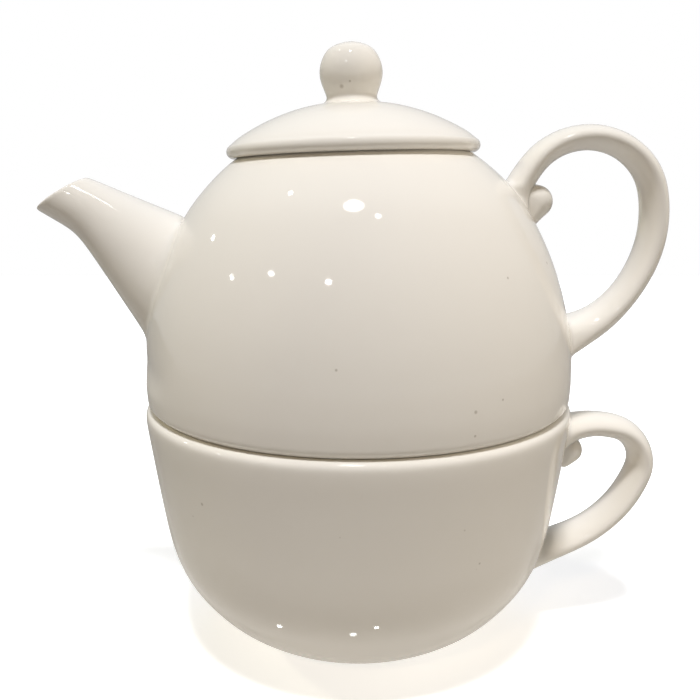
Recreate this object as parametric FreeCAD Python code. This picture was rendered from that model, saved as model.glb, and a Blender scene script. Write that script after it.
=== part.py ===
import FreeCAD, Part
import os
from math import acos, atan2, cos, degrees, pi, radians, sin, sqrt

# A tea set for one in glazed ceramic: a lid on a teapot, and the teapot standing in its cup.
# Millimetres and degrees. The origin is on the common axis, in the plane of the cup's foot.
# The spout points to -X and both handles to +X. Outlines are points (reach from the axis, height).

# Cup
CUP_HEIGHT = 65.4          # foot to lip
CUP_RIM_RADIUS = 56.5      # outside of the lip
CUP_WALL = 4.6             # also sets the full-round lip
CUP_TAPER = 8.0            # lean of the straight wall
BOWL_TOP = 33.0            # height where the straight wall turns into the bowl
BOWL_ARC = 39.0            # outer radius of that turn
CUP_FOOT_RADIUS = 24.5
CUP_FOOT_WIDTH = 3.4
CUP_FOOT_RECESS = 1.3

# Teapot body, with heights counted from the ledge that sits on the cup's lip
POT_INSET = 0.4            # its widest ring lies this far inside the cup's lip
TUCK_ARC = 39.0            # gentle turn in under the widest ring
TUCK_TURN = 6.4
HEEL_ROUND = 2.3           # rounding between the tuck and the ledge
FLANK_ARC = 81.5
FLANK_TURN = 29.4
SHOULDER_ARC = 51.9
MOUTH_RADIUS = 24.5
POT_WALL = 3.8
FLOOR_ROUND = 9.0
POT_FOOT_DEPTH = 4.5       # foot below the ledge, nested in the cup
POT_FOOT_WIDTH = 4.0
POT_FOOT_RECESS = 1.5
NEST_PLAY = 1.2            # radial play of that foot inside the cup
STACK_PLAY = 0.05          # hair gap between a piece and what it rests on

# Spout
SPOUT_TOP = 47.5           # height of its upper line at the body
SPOUT_BOTTOM = 15.3        # height of its lower line at the body
SPOUT_TOP_LENGTH = 27.7
SPOUT_TOP_ANGLE = 157.6
SPOUT_LOW_LENGTH = 33.1    # straight stretch before the lip turns out
SPOUT_LOW_ANGLE = 122.5
LIP_ARC = 6.0
LIP_TURN = 27.5
LIP_LENGTH = 10.1
SPOUT_ROOT_WIDTH = 34.0
SPOUT_MOUTH_WIDTH = 13.6
SPOUT_TAPER = 1.6          # above 1, the width falls faster near the body than near the mouth
SPOUT_CROWN = 28.0         # the mouth is cut to this radius across, so its sides dip
SPOUT_WALL = 2.9
SPOUT_LIP_WALL = 1.5
SPOUT_THIN = 0.35          # share of the spout's length over which its wall thins to the lip
SPOUT_STATIONS = (-0.22, 0.0, 0.2, 0.4, 0.6, 0.7, 0.78, 0.88, 1.0)

# Lid
LID_RADIUS = 32.3
LID_EDGE_ROUND = 1.8
LID_DOME_ARC = 54.4
LID_WALL = 3.0
COLLAR_PLAY = 1.4          # radial play of the collar in the mouth
COLLAR_WALL = 2.6
COLLAR_DEPTH = 6.0         # collar below the lid's edge
LID_LEAN = 1.7             # the lid has slid towards the spout along the shoulder
KNOB_BALL = 7.8
KNOB_HEIGHT = 14.5         # above the dome
KNOB_TAPER = 22.0
KNOB_NECK_ROUND = 1.4
VENT_RADIUS = 1.2
VENT_REACH = 16.0

# Handles: each leaves the wall, turns over through its arcs and comes back on a straight tail.
# An arc is (radius, turn).
POT_HANDLE = {
    "height": 53.8, "lead": 5.0, "angle": 62.9, "arcs": ((18.1, 147.3), (34.9, 73.4)),
    "thick": 6.3, "wide": 12.0, "top_thick": 7.4, "top_wide": 15.0,
    "end_thick": 12.8, "end_wide": 17.0, "end_drop": 1.1, "tail": 4.0,
}
CUP_HANDLE = {
    "height": 55.1, "lead": 2.4, "angle": 17.9, "arcs": ((24.6, 28.5), (10.4, 101.8), (35.0, 47.3)),
    "thick": 6.0, "wide": 11.5, "top_thick": 9.4, "top_wide": 14.0,
    "end_thick": 9.2, "end_wide": 15.0, "end_drop": 0.8, "tail": 15.0,
}
TOP_FLARE = 10.0           # length over which a handle widens towards its upper root
END_FLARE = 24.0
ROOT_SINK = 2.0            # how deep a handle starts inside the wall
HANDLE_STATIONS = 25

# Scrolls: the rolled end of the strip under each handle, placed from the handle's start
POT_SCROLL = {"out": 5.5, "down": 1.9, "radius": 4.0, "tail_down": 7.4}
CUP_SCROLL = {"out": 2.5, "down": 5.1, "radius": 3.3, "tail_down": 9.5}
SCROLL_LENGTH = 11.0
SCROLL_ROUND = 2.4


def polar(centre, radius, angle):
    return (centre[0] + radius * cos(radians(angle)), centre[1] + radius * sin(radians(angle)))


def vec(point):
    return FreeCAD.Vector(point[0], 0, point[1])


def line(start, end):
    return Part.LineSegment(vec(start), vec(end)).toShape()


def arc(centre, radius, start, end):
    points = [polar(centre, radius, a) for a in (start, (start + end) / 2, end)]
    return Part.Arc(*[vec(p) for p in points]).toShape()


def lathe(edges):
    """The solid that a closed outline in the XZ plane sweeps round the axis."""
    face = Part.Face(Part.Wire(Part.__sortEdges__(edges)))
    return face.revolve(FreeCAD.Vector(0, 0, 0), FreeCAD.Vector(0, 0, 1), 360)


def oval(centre, along, half_high, half_wide):
    """An ellipse half_high each way along a direction of the XZ plane and half_wide each way in Y.

    It starts at its top and turns the same way for any proportions, so that a loft of ovals doesn't twist.
    """
    middle = vec(centre)
    high = FreeCAD.Vector(along[0], 0, along[1]) * half_high
    wide = FreeCAD.Vector(0, half_wide, 0)
    if half_wide > half_high:
        return Part.Wire(Part.Ellipse(middle - wide, middle + high, middle).toShape(pi / 2, 5 * pi / 2))
    return Part.Wire(Part.Ellipse(middle + high, middle + wide, middle).toShape())


def cup_wall(offset):
    """Outline of the cup's wall from the lip's side down to the foot of the bowl, offset inwards."""
    lip = CUP_WALL / 2
    lip_centre = (CUP_RIM_RADIUS - lip, CUP_HEIGHT - lip)
    upper = polar(lip_centre, lip - offset, -CUP_TAPER)
    outer_upper = polar(lip_centre, lip, -CUP_TAPER)
    run = (outer_upper[1] - BOWL_TOP) / cos(radians(CUP_TAPER))
    outer_lower = polar(outer_upper, run, -90 - CUP_TAPER)
    bowl_centre = polar(outer_lower, BOWL_ARC, 180 - CUP_TAPER)
    lower = polar(bowl_centre, BOWL_ARC - offset, -CUP_TAPER)
    return lip_centre, upper, lower, bowl_centre


def cup_inner_reach(height):
    """Reach of the straight inside wall at a height."""
    _, upper, lower, _ = cup_wall(CUP_WALL)
    share = (upper[1] - height) / (upper[1] - lower[1])
    return upper[0] + (lower[0] - upper[0]) * share


def cup_outer_reach(height):
    _, upper, lower, _ = cup_wall(0)
    share = (upper[1] - height) / (upper[1] - lower[1])
    return upper[0] + (lower[0] - upper[0]) * share


def cup_body():
    """The bowl up to its lip, solid, on its foot ring."""
    lip_centre, upper, lower, bowl_centre = cup_wall(0)
    foot_angle = -degrees(acos((CUP_FOOT_RADIUS - bowl_centre[0]) / BOWL_ARC))
    foot_top = polar(bowl_centre, BOWL_ARC, foot_angle)
    ring = CUP_FOOT_RADIUS - CUP_FOOT_WIDTH
    corners = [
        foot_top, (CUP_FOOT_RADIUS, 0), (ring, 0), (ring, CUP_FOOT_RECESS), (0, CUP_FOOT_RECESS),
        (0, CUP_HEIGHT), (lip_centre[0], CUP_HEIGHT),
    ]
    edges = [line(a, b) for a, b in zip(corners, corners[1:])]
    edges.append(arc(lip_centre, CUP_WALL / 2, 90, -CUP_TAPER))
    edges.append(line(upper, lower))
    edges.append(arc(bowl_centre, BOWL_ARC, -CUP_TAPER, foot_angle))
    return lathe(edges)


def cup_hollow():
    """The space inside the cup, with the inner half of the full-round lip."""
    lip_centre, upper, lower, bowl_centre = cup_wall(CUP_WALL)
    floor = (bowl_centre[0], bowl_centre[1] - BOWL_ARC + CUP_WALL)
    above = CUP_HEIGHT + CUP_WALL
    edges = [
        arc(lip_centre, CUP_WALL / 2, 90, 180 - CUP_TAPER),
        line(upper, lower),
        arc(bowl_centre, BOWL_ARC - CUP_WALL, -CUP_TAPER, -90),
        line(floor, (0, floor[1])),
        line((0, floor[1]), (0, above)),
        line((0, above), (lip_centre[0], above)),
        line((lip_centre[0], above), (lip_centre[0], CUP_HEIGHT)),
    ]
    return lathe(edges)


def pot_frame():
    """Centres and angles of the arcs of the teapot's outline. It all follows the cup's lip."""
    ledge = CUP_HEIGHT + STACK_PLAY
    drop = (TUCK_ARC - HEEL_ROUND) * sin(radians(TUCK_TURN)) + HEEL_ROUND
    wide = (CUP_RIM_RADIUS - POT_INSET, ledge + drop)
    tuck = (wide[0] - TUCK_ARC, wide[1])
    heel = polar(tuck, TUCK_ARC - HEEL_ROUND, -TUCK_TURN)
    flank = (wide[0] - FLANK_ARC, wide[1])
    shoulder = polar(flank, FLANK_ARC - SHOULDER_ARC, FLANK_TURN)
    rim_arc = SHOULDER_ARC - POT_WALL / 2
    rim_angle = degrees(acos((MOUTH_RADIUS + POT_WALL / 2 - shoulder[0]) / rim_arc))
    return {
        "ledge": ledge, "wide": wide, "tuck": tuck, "heel": heel, "flank": flank, "shoulder": shoulder,
        "rim": polar(shoulder, rim_arc, rim_angle), "rim_angle": rim_angle,
    }


def pot_reach(height):
    """Reach of the teapot's outside at a height above its widest ring."""
    frame = pot_frame()
    turn_height = frame["flank"][1] + FLANK_ARC * sin(radians(FLANK_TURN))
    centre, radius = (frame["flank"], FLANK_ARC)
    if height > turn_height:
        centre, radius = (frame["shoulder"], SHOULDER_ARC)
    return centre[0] + sqrt(radius ** 2 - (height - centre[1]) ** 2)


def pot_body():
    """The teapot's body, solid, with its foot and the full-round rim of its mouth."""
    frame = pot_frame()
    ledge = frame["ledge"]
    foot_bottom = ledge - POT_FOOT_DEPTH
    foot = cup_inner_reach(foot_bottom) - NEST_PLAY
    ring = foot - POT_FOOT_WIDTH
    rim_top = polar(frame["rim"], POT_WALL / 2, frame["rim_angle"])
    corners = [
        (frame["heel"][0], ledge), (foot, ledge), (foot, foot_bottom), (ring, foot_bottom),
        (ring, foot_bottom + POT_FOOT_RECESS), (0, foot_bottom + POT_FOOT_RECESS), (0, rim_top[1]), rim_top,
    ]
    edges = [line(a, b) for a, b in zip(corners, corners[1:])]
    edges.append(arc(frame["heel"], HEEL_ROUND, -90, -TUCK_TURN))
    edges.append(arc(frame["tuck"], TUCK_ARC, -TUCK_TURN, 0))
    edges.append(arc(frame["flank"], FLANK_ARC, 0, FLANK_TURN))
    edges.append(arc(frame["shoulder"], SHOULDER_ARC, FLANK_TURN, frame["rim_angle"]))
    return lathe(edges)


def pot_hollow():
    """The space inside the teapot, with the inner half of the mouth's rim."""
    frame = pot_frame()
    floor = frame["ledge"] - POT_FOOT_DEPTH + POT_FOOT_RECESS + POT_WALL
    inner = frame["wide"][0] - POT_WALL
    floor_centre = (inner - FLOOR_ROUND, floor + FLOOR_ROUND)
    rim = frame["rim"]
    above = rim[1] + SHOULDER_ARC
    rim_top = polar(rim, POT_WALL / 2, frame["rim_angle"])
    edges = [
        line((0, floor), (floor_centre[0], floor)),
        arc(floor_centre, FLOOR_ROUND, -90, 0),
        arc(frame["flank"], FLANK_ARC - POT_WALL, 0, FLANK_TURN),
        arc(frame["shoulder"], SHOULDER_ARC - POT_WALL, FLANK_TURN, frame["rim_angle"]),
        arc(rim, POT_WALL / 2, 180 + frame["rim_angle"], frame["rim_angle"]),
        line(rim_top, (rim_top[0], above)),
        line((rim_top[0], above), (0, above)),
        line((0, above), (0, floor)),
    ]
    widest = (inner, frame["wide"][1])
    if floor_centre[1] != widest[1]:
        edges.append(line((inner, floor_centre[1]), widest))
    return lathe(edges)


def spout_section(share):
    """Upper and lower points of the spout in its own plane. Share 0 is at the body and 1 at the mouth."""
    ledge = pot_frame()["ledge"]
    top = ledge + SPOUT_TOP
    low = ledge + SPOUT_BOTTOM
    upper = polar((-pot_reach(top), top), share * SPOUT_TOP_LENGTH, SPOUT_TOP_ANGLE)
    bend_length = LIP_ARC * radians(LIP_TURN)
    travel = share * (SPOUT_LOW_LENGTH + bend_length + LIP_LENGTH)
    start = (-pot_reach(low), low)
    lower = polar(start, min(travel, SPOUT_LOW_LENGTH), SPOUT_LOW_ANGLE)
    turned = degrees(min(max(travel - SPOUT_LOW_LENGTH, 0), bend_length) / LIP_ARC)
    bend_centre = polar(lower, LIP_ARC, SPOUT_LOW_ANGLE + 90)
    lower = polar(bend_centre, LIP_ARC, SPOUT_LOW_ANGLE - 90 + turned)
    lower = polar(lower, max(travel - SPOUT_LOW_LENGTH - bend_length, 0), SPOUT_LOW_ANGLE + LIP_TURN)
    return upper, lower


def spout_loft(inset, extra):
    """The spout's skin as a solid, set in by a wall that thins to the lip, and carried on past the mouth."""
    wires = []
    for share in SPOUT_STATIONS:
        upper, lower = spout_section(share)
        span = sqrt((upper[0] - lower[0]) ** 2 + (upper[1] - lower[1]) ** 2)
        along = ((upper[0] - lower[0]) / span, (upper[1] - lower[1]) / span)
        centre = ((upper[0] + lower[0]) / 2, (upper[1] + lower[1]) / 2)
        swell = (SPOUT_ROOT_WIDTH - SPOUT_MOUTH_WIDTH) * (1 - share) ** SPOUT_TAPER
        half_wide = (SPOUT_MOUTH_WIDTH + swell) / 2
        thin = 1 - min((1 - share) / SPOUT_THIN, 1)
        wall = inset * (SPOUT_WALL + (SPOUT_LIP_WALL - SPOUT_WALL) * thin)
        wires.append(oval(centre, along, span / 2 - wall, half_wide - wall))
    loft = Part.makeLoft(wires, True, False)
    if extra:
        out = FreeCAD.Vector(-along[1], 0, along[0])
        loft = loft.fuse(Part.Face(wires[-1]).extrude(out * extra))
    return loft


def spout_crown():
    """What is pared off the mouth: all above a cylinder that runs from its tip to the back of its rim."""
    upper, lower = spout_section(1)
    span = sqrt((upper[0] - lower[0]) ** 2 + (upper[1] - lower[1]) ** 2)
    back = FreeCAD.Vector((upper[0] - lower[0]) / span, 0, (upper[1] - lower[1]) / span)
    out = FreeCAD.Vector(-back.z, 0, back.x)
    start = vec(lower) - out * SPOUT_CROWN - back * span
    half = FreeCAD.Vector(0, SPOUT_CROWN, 0)
    high = out * SPOUT_CROWN * 2
    corners = [start - half, start + half, start + half + high, start - half + high, start - half]
    block = Part.Face(Part.makePolygon(corners)).extrude(back * span * 3)
    return block.cut(Part.makeCylinder(SPOUT_CROWN, span * 3, start, back))


def handle_path(spec, start):
    """Points, directions and travel along a handle's centre line, from inside the wall and back."""
    angle = spec["angle"]
    here = polar(start, -ROOT_SINK, angle)
    pieces = [("line", here, angle, ROOT_SINK + spec["lead"])]
    here = polar(start, spec["lead"], angle)
    for radius, turn in spec["arcs"]:
        pieces.append(("arc", polar(here, radius, angle - 90), radius, angle, turn))
        here = polar(polar(here, radius, angle - 90), radius, angle - turn + 90)
        angle -= turn
    pieces.append(("line", here, angle, spec["tail"]))
    return pieces


def along_path(pieces, travel):
    """The point and direction of a path at a travel from its start."""
    for piece in pieces:
        if piece[0] == "line":
            length = piece[3]
            if travel <= length or piece is pieces[-1]:
                return polar(piece[1], travel, piece[2]), piece[2]
        else:
            _, centre, radius, angle, turn = piece
            length = radius * radians(turn)
            if travel <= length:
                turned = degrees(travel / radius)
                return polar(centre, radius, angle + 90 - turned), angle - turned
        travel -= length


def path_length(pieces):
    return sum(p[3] if p[0] == "line" else p[2] * radians(p[4]) for p in pieces)


def handle(spec, start):
    """A flattened oval strip along its path, thicker and wider where it meets the wall."""
    pieces = handle_path(spec, start)
    length = path_length(pieces)
    wires = []
    for index in range(HANDLE_STATIONS):
        travel = length * index / (HANDLE_STATIONS - 1)
        point, angle = along_path(pieces, travel)
        top = max(1 - travel / TOP_FLARE, 0) ** 2
        end = max(1 - (length - travel) / END_FLARE, 0) ** 2
        thick = spec["thick"] + (spec["top_thick"] - spec["thick"]) * top
        thick += (spec["end_thick"] - spec["thick"]) * end
        wide = spec["wide"] + (spec["top_wide"] - spec["wide"]) * top
        wide += (spec["end_wide"] - spec["wide"]) * end
        outward = polar((0, 0), 1, angle + 90)
        centre = polar(point, spec["end_drop"] * end, angle + 90)
        wires.append(oval(centre, outward, thick / 2, wide / 2))
    return Part.makeLoft(wires, True, False)


def scroll(spec, start, reach):
    """A roll across the strip with round ends, and a tail that meets the wall lower down."""
    centre = (start[0] + spec["out"], start[1] - spec["down"])
    radius = spec["radius"]
    half = SCROLL_LENGTH / 2
    inner = radius - SCROLL_ROUND
    flat = half - SCROLL_ROUND
    middle = FreeCAD.Vector(centre[0], 0, centre[1])

    def at(across, along):
        return middle + FreeCAD.Vector(across, along, 0)

    def corner(sign):
        bulge = SCROLL_ROUND * cos(radians(45))
        ends = [at(radius, sign * flat), at(inner + bulge, sign * (flat + bulge)), at(inner, sign * half)]
        return Part.Arc(*ends).toShape()

    edges = [
        Part.LineSegment(at(0, -half), at(inner, -half)).toShape(),
        corner(-1),
        Part.LineSegment(at(radius, -flat), at(radius, flat)).toShape(),
        corner(1),
        Part.LineSegment(at(inner, half), at(0, half)).toShape(),
        Part.LineSegment(at(0, half), at(0, -half)).toShape(),
    ]
    face = Part.Face(Part.Wire(Part.__sortEdges__(edges)))
    roll = face.revolve(middle, FreeCAD.Vector(0, 1, 0), 360)
    foot = start[1] - spec["tail_down"]
    tail = (reach(foot), foot)
    apart = (tail[0] - centre[0], tail[1] - centre[1])
    span = sqrt(apart[0] ** 2 + apart[1] ** 2)
    touch = degrees(atan2(apart[1], apart[0]) + acos(radius / span))
    sunk_tail = (tail[0] - ROOT_SINK, tail[1])
    sunk_start = (start[0] - ROOT_SINK, start[1])
    outline = [polar(centre, radius, touch), tail, sunk_tail, sunk_start, centre]
    web = Part.Face(Part.makePolygon([vec(p) for p in outline + outline[:1]]))
    web.translate(FreeCAD.Vector(0, -flat, 0))
    return roll.fuse(web.extrude(FreeCAD.Vector(0, 2 * flat, 0)))


def one_solid(shape):
    """The solid of a joined shape, with its faces cleaned."""
    return shape.removeSplitter().Solids[0]


def make_cup():
    height = CUP_HANDLE["height"]
    start = (cup_outer_reach(height), height)
    cup = cup_body().fuse([handle(CUP_HANDLE, start), scroll(CUP_SCROLL, start, cup_outer_reach)])
    return one_solid(cup.cut(cup_hollow()))


def make_teapot():
    height = pot_frame()["ledge"] + POT_HANDLE["height"]
    start = (pot_reach(height), height)
    added = [spout_loft(0, 0), handle(POT_HANDLE, start), scroll(POT_SCROLL, start, pot_reach)]
    solid = pot_body().fuse(added)
    return one_solid(solid.cut([pot_hollow(), spout_loft(1, 2 * SPOUT_WALL), spout_crown()]))


def lid_frame():
    """Centres of the lid's edge rounding and of its dome. The edge rests on the shoulder all round."""
    shoulder = pot_frame()["shoulder"]
    edge_reach = LID_RADIUS - LID_EDGE_ROUND
    rest = SHOULDER_ARC + LID_EDGE_ROUND + STACK_PLAY
    edge = (edge_reach, shoulder[1] + sqrt(rest ** 2 - (edge_reach - shoulder[0]) ** 2))
    dome = (0, edge[1] - sqrt((LID_DOME_ARC - LID_EDGE_ROUND) ** 2 - edge_reach ** 2))
    return edge, dome


def lid_outline():
    """The lid's section from the knob's top round the edge and under to the axis again."""
    edge, dome = lid_frame()
    top = dome[1] + LID_DOME_ARC + KNOB_HEIGHT
    ball = (0, top - KNOB_BALL)
    waist = polar(ball, KNOB_BALL, -KNOB_TAPER)
    edge_angle = degrees(acos(edge[0] / (LID_DOME_ARC - LID_EDGE_ROUND)))
    neck_arc = LID_DOME_ARC + KNOB_NECK_ROUND
    # The neck's rounding touches the knob's taper and the dome, so its centre lies on the taper's offset.
    slope = radians(KNOB_TAPER)
    offset = polar(waist, KNOB_NECK_ROUND, -KNOB_TAPER)
    way = (-sin(slope), -cos(slope))
    rel = (offset[0] - dome[0], offset[1] - dome[1])
    half = rel[0] * way[0] + rel[1] * way[1]
    step = -half - sqrt(half ** 2 - rel[0] ** 2 - rel[1] ** 2 + neck_arc ** 2)
    neck = (offset[0] + step * way[0], offset[1] + step * way[1])
    neck_low = degrees(acos((neck[0] - dome[0]) / neck_arc))
    collar_out = MOUTH_RADIUS - COLLAR_PLAY
    collar_in = collar_out - COLLAR_WALL
    collar_low = edge[1] - LID_EDGE_ROUND - COLLAR_DEPTH
    under = LID_DOME_ARC - LID_WALL
    collar_round = COLLAR_WALL / 2
    collar_centre = (collar_out - collar_round, collar_low + collar_round)
    under_edge = polar(edge, LID_EDGE_ROUND, 180)
    under_start = (under_edge[0], dome[1] + sqrt(under ** 2 - under_edge[0] ** 2))
    angle_a = degrees(acos(under_start[0] / under))
    angle_b = degrees(acos(collar_out / under))
    angle_c = degrees(acos(collar_in / under))
    return [
        arc(ball, KNOB_BALL, 90, -KNOB_TAPER),
        line(waist, polar(neck, KNOB_NECK_ROUND, 180 - KNOB_TAPER)),
        arc(neck, KNOB_NECK_ROUND, 180 - KNOB_TAPER, 180 + neck_low),
        arc(dome, LID_DOME_ARC, neck_low, edge_angle),
        arc(edge, LID_EDGE_ROUND, edge_angle, -180),
        line(under_edge, under_start),
        arc(dome, under, angle_a, angle_b),
        line(polar(dome, under, angle_b), (collar_out, collar_centre[1])),
        arc(collar_centre, collar_round, 0, -180),
        line((collar_in, collar_centre[1]), polar(dome, under, angle_c)),
        arc(dome, under, angle_c, 90),
        line((0, dome[1] + under), (0, top)),
    ]


def make_lid():
    """The lid turned about its axis, vented at the back and slid along the shoulder towards the spout."""
    _, dome = lid_frame()
    vent = Part.makeCylinder(VENT_RADIUS, 2 * LID_DOME_ARC, FreeCAD.Vector(0, VENT_REACH, dome[1]))
    lid = one_solid(lathe(lid_outline()).cut(vent))
    lid.rotate(vec((0, pot_frame()["shoulder"][1])), FreeCAD.Vector(0, 1, 0), -LID_LEAN)
    return lid


os.makedirs("parts", exist_ok=True)
for name, make in (("cup", make_cup), ("teapot", make_teapot), ("lid", make_lid)):
    make().exportStep("parts/" + name + ".step")
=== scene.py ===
import bmesh
import bpy
from math import atan2, cos, degrees, hypot, pi, radians, sin
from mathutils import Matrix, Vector


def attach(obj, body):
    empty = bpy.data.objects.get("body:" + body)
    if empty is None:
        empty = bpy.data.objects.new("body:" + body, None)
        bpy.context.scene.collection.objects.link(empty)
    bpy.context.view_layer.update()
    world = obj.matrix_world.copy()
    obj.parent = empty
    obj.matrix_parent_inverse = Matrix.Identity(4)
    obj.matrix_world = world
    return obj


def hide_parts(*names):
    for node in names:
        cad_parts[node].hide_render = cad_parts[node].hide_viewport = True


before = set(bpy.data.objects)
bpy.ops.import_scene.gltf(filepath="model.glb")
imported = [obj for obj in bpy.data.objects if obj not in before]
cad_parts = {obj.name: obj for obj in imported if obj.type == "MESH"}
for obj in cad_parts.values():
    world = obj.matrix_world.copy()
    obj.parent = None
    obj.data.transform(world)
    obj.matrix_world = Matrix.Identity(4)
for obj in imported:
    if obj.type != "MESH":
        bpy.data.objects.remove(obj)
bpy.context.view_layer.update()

# Cup.
# A thick-walled stoneware cup, jiggered in a mould, with a full-round lip and a turned foot ring.
# Its strap handle is pulled from a strip of the same clay and joined while both are soft.
MM = 0.001
COLUMNS = 32


def arc(centre, radius, first, last, steps):
    """Points of a section along an arc, as (reach from the axis, height), with angles in degrees."""
    angles = [radians(first + (last - first) * step / steps) for step in range(steps + 1)]
    return [(centre[0] + radius * cos(a), centre[1] + radius * sin(a)) for a in angles]


def girth(count):
    """How much wider a ring of this many points is drawn, so that it comes to size when smoothed."""
    return 3 / (2 + cos(2 * pi / count))


def through(points, rounds=8):
    """The points pushed out against their neighbours, so that the smoothed section passes through them."""
    cage = list(points)
    for _ in range(rounds):
        inner = [
            tuple((6 * p - a - b) / 4 for p, a, b in zip(points[i], cage[i - 1], cage[i + 1]))
            for i in range(1, len(points) - 1)
        ]
        cage = [points[0], *inner, points[-1]]
    return cage


def pick(test, kind="VERT"):
    """Selects the vertices, edges or faces that pass a test, in the piece being edited."""
    bpy.ops.mesh.select_mode(type=kind)
    bpy.ops.mesh.select_all(action="DESELECT")
    mesh = bmesh.from_edit_mesh(bpy.context.edit_object.data)
    mesh.verts.index_update()
    for item in {"VERT": mesh.verts, "EDGE": mesh.edges, "FACE": mesh.faces}[kind]:
        item.select_set(bool(test(item)))
    mesh.select_flush_mode()
    bmesh.update_edit_mesh(bpy.context.edit_object.data)
    return {v.index for v in mesh.verts if v.select}


def turned(name, section):
    """A closed section drawn out ring by ring about the Z axis, in millimetres, and closed at both ends."""
    cage = through(section)
    bpy.ops.object.select_all(action="DESELECT")
    bpy.ops.mesh.primitive_circle_add(vertices=COLUMNS, radius=cage[0][0] * girth(COLUMNS) * MM)
    piece = bpy.context.object
    piece.name = piece.data.name = name
    bpy.ops.object.mode_set(mode="EDIT")
    bpy.ops.mesh.select_all(action="SELECT")
    bpy.ops.transform.translate(value=(0, 0, cage[0][1] * MM))
    for (reach, height), (wider, higher) in zip(cage, cage[1:]):
        rise = (0, 0, (higher - height) * MM)
        bpy.ops.mesh.extrude_region_move(TRANSFORM_OT_translate={"value": rise})
        bpy.ops.transform.resize(value=(wider / reach, wider / reach, 1), center_override=(0, 0, 0))
    pick(lambda edge: edge.is_boundary, "EDGE")
    bpy.ops.mesh.fill_holes(sides=0)
    pick(lambda face: len(face.verts) == COLUMNS, "FACE")
    bpy.ops.mesh.poke()
    bpy.ops.mesh.select_all(action="SELECT")
    bpy.ops.mesh.normals_make_consistent(inside=False)
    return piece


def open_wall(side, columns, low, high, outer=True):
    """Takes a patch out of one skin, some columns wide about +X or -X and between two heights."""
    def within(item):
        middle = item.calc_center_median() / MM
        turn = abs(degrees(atan2(middle.y, side * middle.x)))
        faces_out = item.normal.dot(Vector((middle.x, middle.y, 0))) > 0
        return low < middle.z < high and turn < columns * 180 / COLUMNS and faces_out == outer

    pick(within, "FACE")
    bpy.ops.mesh.delete(type="FACE")
    # Leaving edit mode closes the gaps in the vertex numbers, so later rings take the numbers after them.
    bpy.ops.object.mode_set(mode="OBJECT")
    bpy.ops.object.mode_set(mode="EDIT")


def border(side, low, high, outer=True):
    """The vertices round a patch that was taken out, between two heights on +X or -X."""
    def within(vertex):
        if not vertex.is_boundary or not low < vertex.co.z / MM < high or side * vertex.co.x < 0:
            return False
        out = Vector((vertex.co.x, vertex.co.y, 0))
        return (vertex.normal.dot(out) > 0) == outer

    return pick(within)


def tightened(loop, factor, centre):
    """A second loop just inside a border, so that what grows out of it keeps a small fillet."""
    pick(lambda edge: edge.is_boundary and {v.index for v in edge.verts} <= loop, "EDGE")
    bpy.ops.mesh.extrude_region_move()
    bpy.ops.transform.resize(value=(factor,) * 3, center_override=[c * MM for c in centre])
    mesh = bmesh.from_edit_mesh(bpy.context.edit_object.data)
    mesh.verts.index_update()
    return {v.index for v in mesh.verts if v.select}


def ring(count, place, lean, high, wide):
    """Adds a loop of edges across the XZ plane. Half sizes are high along its lean and wide along Y."""
    mesh = bmesh.from_edit_mesh(bpy.context.edit_object.data)
    first = len(mesh.verts)
    bpy.ops.mesh.primitive_circle_add(
        vertices=count, radius=high * girth(count) * MM,
        location=(place[0] * MM, 0, place[1] * MM), rotation=(0, -radians(lean), 0),
    )
    bpy.ops.transform.resize(value=(1, wide / high, 1), center_override=(0, 0, 0))
    return set(range(first, first + count))


def bridge(loops):
    """Skins over a row of loops, each joined to the next."""
    for near, far in zip(loops, loops[1:]):
        def open_edge(edge):
            ends = {v.index for v in edge.verts}
            return len(edge.link_faces) < 2 and (ends <= near or ends <= far)

        pick(open_edge, "EDGE")
        bpy.ops.mesh.bridge_edge_loops()


# In millimetres: how far inside the wall a strap starts, and how long its root and its end take to slim.
STRAP_INSIDE = 2
ROOT_TAPER, END_TAPER = 10, 28
# A strap has a fairly sharp edge on each side, a little nearer its outer face than its inner one.
EDGE_SPREAD, EDGE_SHIFT = 1.15, 0.06


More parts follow.
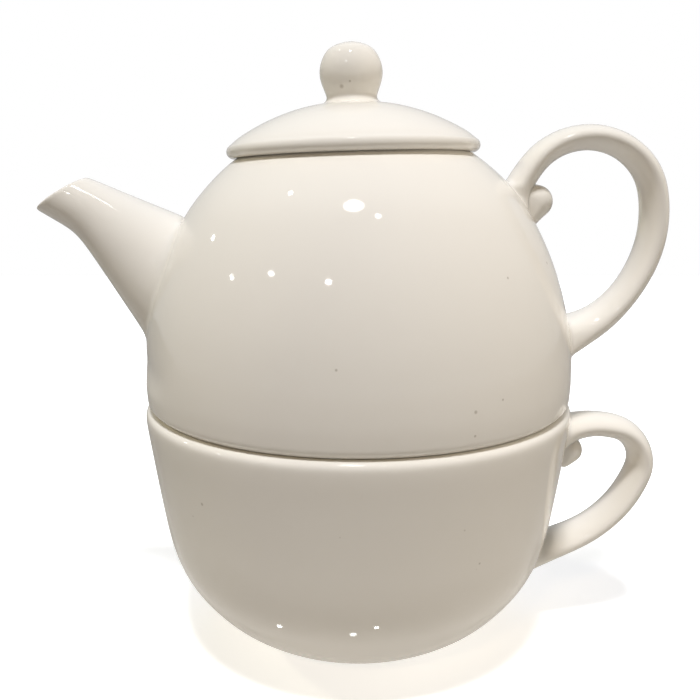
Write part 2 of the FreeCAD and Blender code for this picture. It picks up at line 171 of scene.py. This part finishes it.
def strap(start, angle, runs, sizes):
    """Rings of a strap handle that leaves the wall at an angle and turns over through its runs.

    A run is (radius, turn, steps), or (0, length, steps) where the strap is straight.
    """
    stops = [(start, angle, 0.0)]
    here, travel = start, 0.0
    for radius, amount, steps in runs:
        if radius:
            x, z = here[0] + radius * sin(radians(angle)), here[1] - radius * cos(radians(angle))
            out = radius * 3 / (2 + cos(radians(amount / steps)))
            for step in range(1, steps + 1):
                at = angle + 90 - amount * step / steps
                reach = out if step < steps else radius
                place = (x + reach * cos(radians(at)), z + reach * sin(radians(at)))
                stops.append((place, at - 90, travel + radius * radians(amount * step / steps)))
            here = (x + radius * cos(radians(at)), z + radius * sin(radians(at)))
            angle -= amount
            travel += radius * radians(amount)
        else:
            for step in range(1, steps + 1):
                length = amount * step / steps
                place = (here[0] + length * cos(radians(angle)), here[1] + length * sin(radians(angle)))
                stops.append((place, angle, travel + length))
            here = place
            travel += amount
    loops = []
    for (x, z), at, run in stops:
        top = max(1 - (run + STRAP_INSIDE) / ROOT_TAPER, 0) ** 2
        end = max(1 - (sizes["length"] - run) / END_TAPER, 0) ** 2
        thick = sizes["thick"] + (sizes["top_thick"] - sizes["thick"]) * top
        thick += (sizes["end_thick"] - sizes["thick"]) * end
        wide = sizes["wide"] + (sizes["top_wide"] - sizes["wide"]) * top
        wide += (sizes["end_wide"] - sizes["wide"]) * end
        drop = sizes["end_drop"] * end
        place = (x + drop * cos(radians(at + 90)), z + drop * sin(radians(at + 90)))
        if not sizes["from"] <= run <= sizes["to"]:
            continue
        loops.append(ring(count=8, place=place, lean=at + 90, high=thick / 2, wide=wide / 2))
        out = Vector((cos(radians(at + 90)), 0, sin(radians(at + 90))))

        def side_edge(vertex):
            away = vertex.co / MM - Vector((place[0], 0, place[1]))
            return vertex.index in loops[-1] and abs(away.dot(out)) < thick / 8

        pick(side_edge)
        bpy.ops.transform.resize(value=(1, EDGE_SPREAD, 1), center_override=(0, 0, 0))
        bpy.ops.transform.translate(value=out * EDGE_SHIFT * thick * MM)
    return loops


def smoothed(piece):
    """Turns all faces outward, applies the smoothing and leaves the piece in object mode, shaded smooth."""
    bpy.ops.mesh.select_all(action="SELECT")
    bpy.ops.mesh.normals_make_consistent(inside=False)
    bpy.ops.object.mode_set(mode="OBJECT")
    soft = piece.modifiers.new("Smooth", "SUBSURF")
    soft.levels = soft.render_levels = 2
    bpy.ops.object.modifier_apply(modifier=soft.name)
    bpy.ops.object.shade_smooth()


# Half the width of a roll in millimetres, and the arcs of its girth that are its underside and its back.
ROLL_HALF_WIDE = 5.5
ROLL_UNDER, ROLL_BACK = (235, 285), (100, 230)


def roll(place, radius, tail, back):
    """The curled end of a strap: a short roll across it, drawn down into the wall and back against it."""
    bpy.ops.object.select_all(action="DESELECT")
    bpy.ops.mesh.primitive_uv_sphere_add(
        segments=16, ring_count=8, radius=radius * girth(16) * MM,
        location=(place[0] * MM, 0, place[1] * MM), rotation=(pi / 2, 0, 0),
    )
    piece = bpy.context.object
    bpy.ops.object.transform_apply(location=True, rotation=True, scale=True)
    bpy.ops.object.mode_set(mode="EDIT")
    for side in (1, -1):
        pick(lambda v: v.co.y * side > 0.5 * MM)
        bpy.ops.transform.translate(value=(0, side * (ROLL_HALF_WIDE - radius) * MM, 0))
    for (first, last), shift in ((ROLL_UNDER, tail), (ROLL_BACK, back)):
        pick(lambda v: first < degrees(atan2(v.co.z / MM - place[1], v.co.x / MM - place[0])) % 360 < last)
        bpy.ops.transform.translate(value=(shift[0] * MM, 0, shift[1] * MM))
    smoothed(piece)
    return piece


def joined(piece, added):
    """Makes one skin of a piece and what was added to it."""
    bpy.ops.object.select_all(action="DESELECT")
    bpy.context.view_layer.objects.active = piece
    union = piece.modifiers.new("Union", "BOOLEAN")
    union.operation, union.object, union.solver = "UNION", added, "MANIFOLD"
    bpy.ops.object.modifier_apply(modifier=union.name)
    bpy.data.objects.remove(added)
    bpy.ops.object.select_all(action="DESELECT")
    piece.select_set(True)
    bpy.ops.object.shade_smooth_by_angle(angle=radians(35))


class Wire:
    """A socket of a material, so that a pattern can be written as a formula."""

    def __init__(self, socket):
        self.socket = socket

    def node(self, kind, settings, values, out=0):
        """Adds a node to the same material, sets it, feeds its inputs and gives one of its outputs."""
        tree = self.socket.id_data
        made = tree.nodes.new("ShaderNode" + kind)
        for name, value in settings.items():
            setattr(made, name, value)
        for name, value in values.items():
            if isinstance(value, Wire):
                tree.links.new(value.socket, made.inputs[name])
            else:
                made.inputs[name].default_value = value
        return Wire(made.outputs[out])

    def blend(self, first, second):
        """The colour between two, by this factor."""
        return self.node("Mix", {"data_type": "RGBA"}, {0: self, 6: first, 7: second}, 2)

    def math(self, operation, first, second):
        return self.node("Math", {"operation": operation}, {0: first, 1: second})

    def __add__(self, other):
        return self.math("ADD", self, other)

    def __radd__(self, other):
        return self.math("ADD", other, self)

    def __sub__(self, other):
        return self.math("SUBTRACT", self, other)

    def __rsub__(self, other):
        return self.math("SUBTRACT", other, self)

    def __mul__(self, other):
        return self.math("MULTIPLY", self, other)

    def __rmul__(self, other):
        return self.math("MULTIPLY", other, self)


CREAM, DEEP_CREAM = (0.88, 0.85, 0.79, 1), (0.84, 0.805, 0.74, 1)
PIT_BROWN, BARE_CLAY = (0.3, 0.25, 0.18, 1), (0.74, 0.68, 0.58, 1)


def glazed(piece, pits, bare_below, seam):
    """A clear glossy glaze over cream clay: dark pits at (x, y, z, radius), a bare foot, filled seams."""
    material = bpy.data.materials.new("glaze_" + piece.name)
    material.use_nodes = True
    tree = material.node_tree
    shader = tree.nodes["Principled BSDF"]
    where = Wire(tree.nodes.new("ShaderNodeTexCoord").outputs["Object"])
    cloud = where.node("TexNoise", {}, {"Vector": where, "Scale": 22.0, "Detail": 3.0})
    drift = where.node("TexNoise", {}, {"Vector": where, "Scale": 9.0, "Detail": 1.0, "Distortion": 0.6})
    peel = where.node("TexNoise", {}, {"Vector": where, "Scale": 160.0, "Detail": 2.0})
    tone = cloud.blend(CREAM, DEEP_CREAM)
    for x, y, z, radius in pits:
        middle = (x * MM, y * MM, z * MM)
        away = where.node("VectorMath", {"operation": "DISTANCE"}, {0: where, 1: middle}, 1)
        ragged = away * (1 / MM / radius) + (peel - 0.5) * 0.8
        pit = where.node(
            "MapRange", {"interpolation_type": "SMOOTHSTEP"}, {0: ragged, 1: 0.3, 2: 1.1, 3: 0.5, 4: 0.0},
        )
        tone = pit.blend(tone, PIT_BROWN)
    height = where.node("SeparateXYZ", {}, {0: where}, 2) * (1 / MM)
    bare = where.node("MapRange", {}, {0: height, 1: bare_below, 2: bare_below + 0.3, 3: 1.0, 4: 0.0})
    tone = bare.blend(tone, BARE_CLAY)
    tree.links.new(tone.socket, shader.inputs["Base Color"])
    tree.links.new((0.03 + drift * 0.06 + bare * 0.6).socket, shader.inputs["Roughness"])
    peeled = {"Strength": 0.02, "Distance": 0.2 * MM, "Height": peel + drift * 2}
    if seam:
        peeled["Normal"] = where.node("Bevel", {"samples": 4}, {"Radius": seam * MM})
    tree.links.new(where.node("Bump", {}, peeled).socket, shader.inputs["Normal"])
    shader.inputs["IOR"].default_value = 1.52
    piece.data.materials.clear()
    piece.data.materials.append(material)


cup_section = [
    (2, 1.3), (10, 1.3), (17, 1.3), (20.4, 1.3), (21.1, 0.8), (21.8, 0.2), (24.0, 0.15), (24.6, 0.7),
    *arc((13.67, 38.43), 39, -71, -42.5, 4), *arc((13.67, 38.43), 39.1, -31.5, -8, 2),
    (53.24, 38.2), (54.02, 43.5), (54.79, 49.0), (55.5, 54.3), (56.1, 58.7), (56.4, 61.4),
    *arc((54.2, 63.1), 2.3, 10, 170, 5),
    (51.9, 61.4), (51.5, 59.0), (51.0, 55.0), (50.2, 49.0), (49.2, 41.0), (47.73, 33.0),
    *arc((13.67, 38.43), 34.4, -20, -86, 6), (8, 4.03), (2, 4.03),
]
cup = turned("cup_body", cup_section)
open_wall(side=1, columns=2, low=49.0, high=58.7)
open_wall(side=1, columns=2, low=12.1, high=25.2)
cup_handle = strap(
    (55.45, 55.06), 17.9, ((0, 2.4, 1), (24.45, 28.5, 2), (10.75, 101.8, 5), (34.05, 47.3, 4), (0, 6, 2)),
    {"length": 76.8, "thick": 6.5, "wide": 12.0, "top_thick": 9.4, "top_wide": 14.0,
     "end_thick": 8.8, "end_wide": 15.0, "end_drop": 0.8, "from": 1.5, "to": 69.5},
)
cup_strap_root = tightened(border(side=1, low=48, high=60), factor=0.85, centre=(55.3, 0, 54.5))
cup_strap_end = tightened(border(side=1, low=10, high=28), factor=0.85, centre=(48, 0, 18.6))
bridge([cup_strap_root, *cup_handle, cup_strap_end])
smoothed(cup)
joined(cup, roll(place=(58.1, 50.0), radius=3.8, tail=(-1.0, -1.5), back=(-3.0, 0.5)))
cup_pits = [
    (-35.3, -41.8, 50.5, 0.5), (-38.2, -38.3, 46.1, 0.4), (-3.9, -54.3, 48.2, 0.35),
    (23.1, -49.2, 47.5, 0.4), (27.2, -45.5, 37.8, 0.4), (26.5, -45.6, 36.5, 0.35),
]
glazed(cup, cup_pits, bare_below=0.45, seam=0.4)
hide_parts("cup")
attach(cup, "root")

# Teapot.
# A slip-cast body that stands in the cup on its own foot, of the same clay and under the same glaze.
# The spout is cast apart and luted over its port; the strap handle ends in a small roll of clay.
pot_section = [
    (2, 62.45), (12, 62.45), (26, 62.45), (38, 62.45), (44, 62.4), (46.2, 61.9), (46.9, 61.1), (49.7, 60.95),
    (50.3, 61.6), (50.45, 63.4), (50.9, 65.0), (52.2, 65.45), *arc((53.57, 67.75), 2.3, -78, -6.4, 3),
    (56.0, 69.4), (56.1, 72.2), (55.96, 76.4), (55.6, 80.6), (54.68, 87), (53.03, 94), (50.89, 100.5),
    (48.13, 107), (44.63, 113.5), (40.91, 118.8), (36.13, 124), (32.3, 127.3), (29.6, 129.25), (27.9, 130.4),
    *arc((26.4, 129.07), 1.9, 40, 230, 5),
    (27.65, 126), (30.35, 124), (34.28, 120.5), (38.66, 115.5), (42.0, 110.5), (44.39, 106), (46.62, 101),
    (48.45, 96), (50.03, 90.5), (51.18, 85), (51.92, 79.5), (52.25, 75), (52.1, 72), (50.8, 69.2),
    (48.2, 67.0), (43.3, 66.25), (34, 66.25), (18, 66.25), (2, 66.25),
]
pot = turned("teapot_body", pot_section)
open_wall(side=-1, columns=4, low=75.2, high=113.5)
open_wall(side=-1, columns=4, low=79.5, high=110.5, outer=False)
open_wall(side=1, columns=2, low=113.5, high=124.0)
open_wall(side=1, columns=2, low=75.2, high=87.0)
# The port's border is squeezed round the body to the egg shape of the spout's root. Each row is a height in
# millimetres and the turn from the spout's side, in degrees, before and after.
for height, old, new in (
    (75, 11.25, 4), (75, 22.5, 8), (80, 22.5, 13), (87, 22.5, 19), (94, 22.5, 23.5), (100.5, 22.5, 25.5),
    (107, 22.5, 24), (114, 11.25, 8), (114, 22.5, 15.5),
):
    for side in (1, -1):
        def on_border(vertex):
            turn = degrees(atan2(side * vertex.co.y, -vertex.co.x))
            near = abs(vertex.co.z / MM - height) < 2 and abs(turn - old) < 1
            faces_out = vertex.normal.dot(Vector((vertex.co.x, vertex.co.y, 0))) > 0
            return vertex.is_boundary and near and faces_out

        pick(on_border)
        bpy.ops.transform.rotate(value=radians(new - old) * side, orient_axis="Z", center_override=(0, 0, 0))
# Each station of the spout: x and z of its upper point, x and z of its lower one, half its width, its wall.
spout_stations = [
    (-45.75, 113.27, -56.4, 81.9, 16.4, 2.9), (-48.1, 114.2, -58.6, 85.4, 15.1, 2.9),
    (-52.7, 116.1, -63.1, 92.4, 12.6, 2.9), (-57.8, 118.2, -68.0, 100.2, 10.2, 2.9),
    (-62.5, 120.1, -72.5, 107.2, 8.45, 2.8), (-65.0, 121.2, -75.4, 110.1, 7.7, 2.4),
    (-68.1, 122.45, -80.2, 112.9, 7.06, 1.9), (-69.8, 123.13, -82.8, 114.46, 6.87, 1.6),
    (-70.8, 123.54, -84.3, 115.36, 6.8, 1.5),
]


def spout_loops(skin):
    """Rings of the spout's outer skin (0) or of its inner one (1)."""
    loops = []
    for upper_x, upper_z, lower_x, lower_z, half_wide, wall in spout_stations:
        rise = (upper_x - lower_x, upper_z - lower_z)
        middle = ((upper_x + lower_x) / 2, (upper_z + lower_z) / 2)
        high, wide = hypot(*rise) / 2 - wall * skin, half_wide - wall * skin
        lean = degrees(atan2(rise[1], rise[0]))
        loops.append(ring(count=20, place=middle, lean=lean, high=high, wide=wide))
    return loops


pot_port = tightened(border(side=-1, low=72, high=117), factor=0.85, centre=(-53.5, 0, 97))
pot_port_inside = border(side=-1, low=72, high=117, outer=False)
spout_outside = spout_loops(0)
spout_inside = spout_loops(1)
bridge([pot_port, *spout_outside])
bridge([pot_port_inside, *spout_inside])
bridge([spout_outside[-1], spout_inside[-1]])
pot_handle = strap(
    (40.72, 119.16), 62.9, ((0, 5, 3), (18.3, 147.3, 7), (34.3, 73.4, 6)),
    {"length": 100.1, "thick": 6.7, "wide": 12.5, "top_thick": 7.8, "top_wide": 15.0,
     "end_thick": 11.4, "end_wide": 16.5, "end_drop": 0.5, "from": 1.5, "to": 91.9},
)
pot_strap_root = tightened(border(side=1, low=112, high=126), factor=0.82, centre=(41, 0, 118.8))
pot_strap_end = tightened(border(side=1, low=72, high=90), factor=0.9, centre=(56, 0, 81.5))
bridge([pot_strap_root, *pot_handle, pot_strap_end])
smoothed(pot)
joined(pot, roll(place=(46.3, 117.3), radius=4.4, tail=(-1.0, -2.8), back=(-3.5, 1.2)))
pot_pits = [
    (-4.5, -54.9, 84.6, 0.4), (24.7, -50.3, 74.5, 0.5), (24.7, -50.2, 69.2, 0.4),
    (45.1, -21.3, 103.2, 0.5), (32.6, -38.6, 101.5, 0.35), (31.0, -46.6, 76.2, 0.35),
]
glazed(pot, pot_pits, bare_below=61.2, seam=0.4)
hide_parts("teapot")
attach(pot, "root")

# Lid.
# A cast dome with a solid knob and a collar that hangs inside the mouth, vented at the back.
# It has slid a little towards the spout, so it leans along the teapot's shoulder.
LID_LEAN = 1.7
LEAN_PIVOT = 86.37
lid_section = [
    (1.2, 156.85), (3.5, 156.2), *arc((0, 149.4), 8.0, 45, -7.5, 3), (7.35, 146.2), (6.75, 144.6),
    (6.45, 143.4), (6.9, 142.45), (8.4, 141.75), (12, 141.1), (17, 139.72), (22, 137.8), (26.5, 135.55),
    (29.7, 133.6),
    (31.3, 132.3), *arc((30.8, 130.55), 1.7, 35, -140, 4),
    (27.6, 130.5), (25.4, 131.9), (23.9, 132.2), (23.2, 130.8), (23.1, 127.5), (23.0, 124.6),
    (22.2, 123.3), (21.3, 123.3), (20.6, 124.6), (20.5, 129.0), (19.9, 134.4), (17.5, 136.35),
    (11, 138.25), (2, 139.4),
]
lid = turned("lid_body", lid_section)
bpy.ops.transform.rotate(value=radians(LID_LEAN), orient_axis="Y", center_override=(0, 0, LEAN_PIVOT * MM))
smoothed(lid)
bpy.ops.object.select_all(action="DESELECT")
bpy.ops.mesh.primitive_cylinder_add(
    vertices=24, radius=1.2 * MM, depth=20 * MM, location=(-1.6 * MM, 16 * MM, 139 * MM),
)
vent = bpy.context.object
bpy.context.view_layer.objects.active = lid
bore = lid.modifiers.new("Vent", "BOOLEAN")
bore.operation, bore.object, bore.solver = "DIFFERENCE", vent, "MANIFOLD"
bpy.ops.object.modifier_apply(modifier=bore.name)
bpy.data.objects.remove(vent)
lid_pits = [(-4.1, -6.5, 145.4, 0.75), (-2.1, -7.3, 146.5, 0.4)]
glazed(lid, lid_pits, bare_below=122.8, seam=0)
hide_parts("lid")
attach(lid, "root")

# Floor.
# A plain pale sheet that shows white to the camera and carries the set's shadow.
# To the set it glows warmly round the foot and dims outward, like the table that it was photographed on.
bpy.ops.object.select_all(action="DESELECT")
bpy.ops.mesh.primitive_plane_add(size=1.8)
floor = bpy.context.object
floor.name = floor.data.name = "floor"
paper = bpy.data.materials.new("paper")
paper.use_nodes = True
sheet = paper.node_tree.nodes["Principled BSDF"]
sheet.inputs["Roughness"].default_value = 0.9
sheet.inputs["Specular IOR Level"].default_value = 0.0
sheet.inputs["Emission Strength"].default_value = 0.5
watcher = Wire(paper.node_tree.nodes.new("ShaderNodeLightPath").outputs["Is Camera Ray"])
tone = watcher.blend((0.32, 0.31, 0.3, 1), (0.97, 0.97, 0.97, 1))
spot = Wire(paper.node_tree.nodes.new("ShaderNodeTexCoord").outputs["Object"])
reach = spot.node("VectorMath", {"operation": "LENGTH"}, {0: spot}, 1)
near = spot.node(
    "MapRange", {"interpolation_type": "SMOOTHSTEP"}, {0: reach, 1: 0.04, 2: 0.16, 3: 1.0, 4: 0.0},
)
glow = watcher.blend(near.blend((0.11, 0.1, 0.09, 1), (0.85, 0.81, 0.74, 1)), (1, 1, 1, 1))
paper.node_tree.links.new(tone.socket, sheet.inputs["Base Color"])
paper.node_tree.links.new(glow.socket, sheet.inputs["Emission Color"])
floor.data.materials.append(paper)

# Light and camera.
# A soft room light from above and in front, and the ceiling lamps whose reflections dot the glaze.
# The room is white to the camera, half white in the glaze and dim to all else.
# The camera stands close, lower than the lid, and looks slightly down along +Y.
world = bpy.data.worlds.new("studio")
bpy.context.scene.world = world
world.use_nodes = True
sky = world.node_tree
room = sky.nodes["Background"]
room.inputs["Color"].default_value = (1.0, 0.9, 0.68, 1)
room.inputs["Strength"].default_value = 0.06
rays = sky.nodes.new("ShaderNodeLightPath")
whiteness = Wire(rays.outputs["Is Camera Ray"]) + Wire(rays.outputs["Is Glossy Ray"]) * 0.5
white = whiteness.node("Background", {}, {"Color": (1, 1, 1, 1), "Strength": 1.0})
surround = whiteness.node("MixShader", {}, {0: whiteness, 1: Wire(room.outputs[0]), 2: white})
sky.links.new(surround.socket, sky.nodes["World Output"].inputs["Surface"])

# These lamps light the set and don't show in the glaze.
for name, place, tilt, size, power, colour in (
    ("key", (-0.06, -0.54, 1.64), (0, 0), 0.25, 24, (0.98, 0.98, 1.0)),
    ("front", (-0.66, -2.04, 1.64), (0, 0), 0.3, 11.5, (1.0, 0.77, 0.48)),
    ("left", (-2.85, 0.93, 1.64), (0, 0), 0.3, 38, (1.0, 0.97, 0.7)),
    ("overhead", (0, 0, 1.5), (0, 0), 1.2, 1.8, (0.8, 0.85, 1.0)),
    ("right", (1.6, 0, 0.4), (0, 78.7), 1.2, 11.2, (1.0, 0.89, 0.74)),
    ("back", (0, 1.0, 1.3), (-39.3, 0), 1.2, 6, (0.6, 0.75, 1.0)),
):
    bpy.ops.object.light_add(
        type="AREA", location=place, rotation=(radians(tilt[0]), radians(tilt[1]), 0),
    )
    lamp = bpy.context.object
    lamp.name = name
    lamp.data.size = size
    lamp.data.energy = power
    lamp.data.color = colour
    lamp.visible_glossy = False
# These show in the glaze alone: the ceiling's lamps, and three glints on the table that face up at the cup.
for name, turn, lamps in (
    ("ceiling_lamp", 0, (
        ((-0.06, -0.54, 1.62), 0.25, 2.5), ((-0.8, 0, 1.62), 0.07, 0.3), ((0.27, -0.75, 1.62), 0.09, 0.4),
        ((-3.15, -0.62, 1.62), 0.2, 2), ((-1.9, -1.36, 1.62), 0.15, 1.5), ((-0.66, -2.04, 1.62), 0.15, 1.5),
        ((-2.85, 0.93, 1.62), 0.15, 1.5),
    )),
    ("table_glint", 180, (
        ((-0.0281, -0.0456, 0.001), 0.002, 0.0002), ((-0.0019, -0.0537, 0.001), 0.0026, 0.00016),
        ((0.0071, -0.0582, 0.001), 0.002, 0.0002),
    )),
):
    for place, size, power in lamps:
        bpy.ops.object.light_add(type="AREA", location=place, rotation=(radians(turn), 0, 0))
        lamp = bpy.context.object
        lamp.name = name
        lamp.data.shape = "DISK"
        lamp.data.size = size
        lamp.data.energy = power
        lamp.visible_diffuse = lamp.visible_camera = False

bpy.ops.object.camera_add(location=(0, -0.21096, 0.1205), rotation=(radians(78.51), 0, 0))
camera = bpy.context.object
camera.data.lens = 40.73
camera.data.shift_x = -0.0121
camera.data.clip_start = 0.01
bpy.context.scene.camera = camera
bpy.context.scene.view_settings.view_transform = "Standard"
